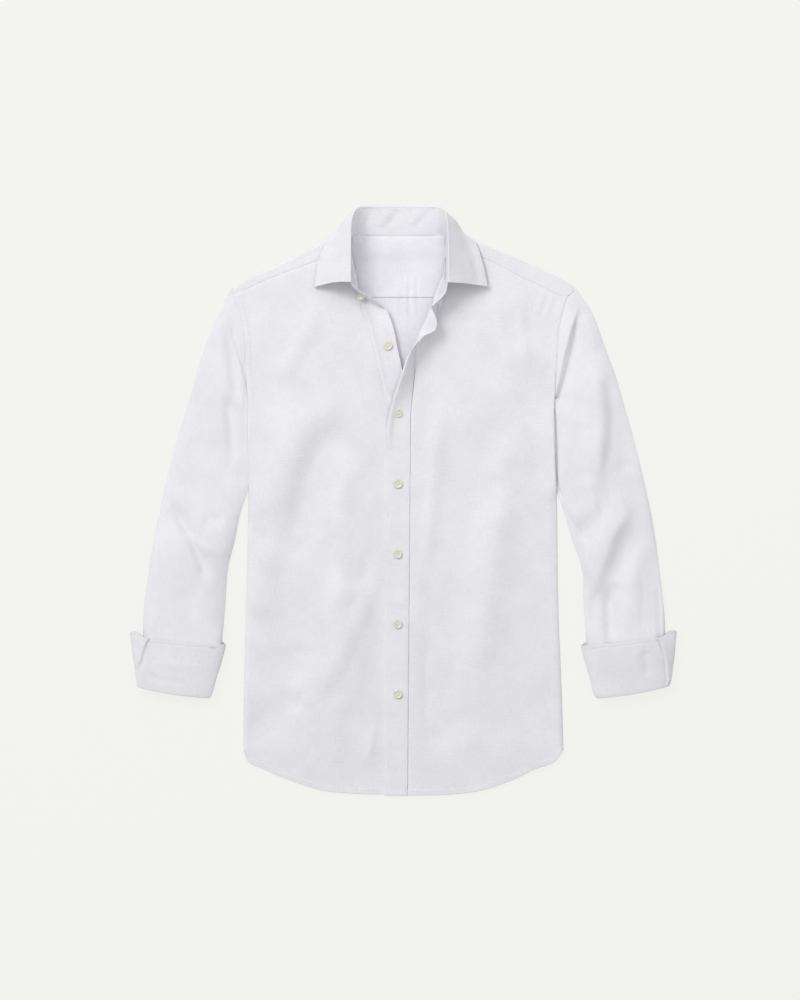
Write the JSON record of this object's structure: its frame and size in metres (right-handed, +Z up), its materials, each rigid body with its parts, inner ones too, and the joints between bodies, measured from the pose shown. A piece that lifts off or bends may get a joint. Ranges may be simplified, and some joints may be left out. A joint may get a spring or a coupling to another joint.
{
  "type": "dress shirt",
  "caption": "Long-sleeved button-front dress shirt laid flat on its back, with an open spread collar, a placket and turned-back cuffs.",
  "frame": {"origin": "on the table, below the middle of the laid shirt's bounding box", "axes": "+Z up from the table, +Y towards the collar, +X towards the wearer's left sleeve"},
  "size_m": [0.7542, 0.8164, 0.0485],
  "materials": {
    "cotton": "matte fine-woven cotton",
    "resin": "polished"
  },
  "bodies": {
    "root": {"back": "cotton", "yoke": "cotton", "front_right": "cotton", "front_left": "cotton", "placket": "cotton", "collar_stand": "cotton", "collar_leaf": "cotton", "sleeve_right": "cotton", "sleeve_left": "cotton", "cuff_right": "cotton", "cuff_left": "cotton", "button_collar": "resin", "button_1": "resin", "button_2": "resin", "button_3": "resin", "button_4": "resin", "button_5": "resin", "button_6": "resin"}
  },
  "joints": []
}
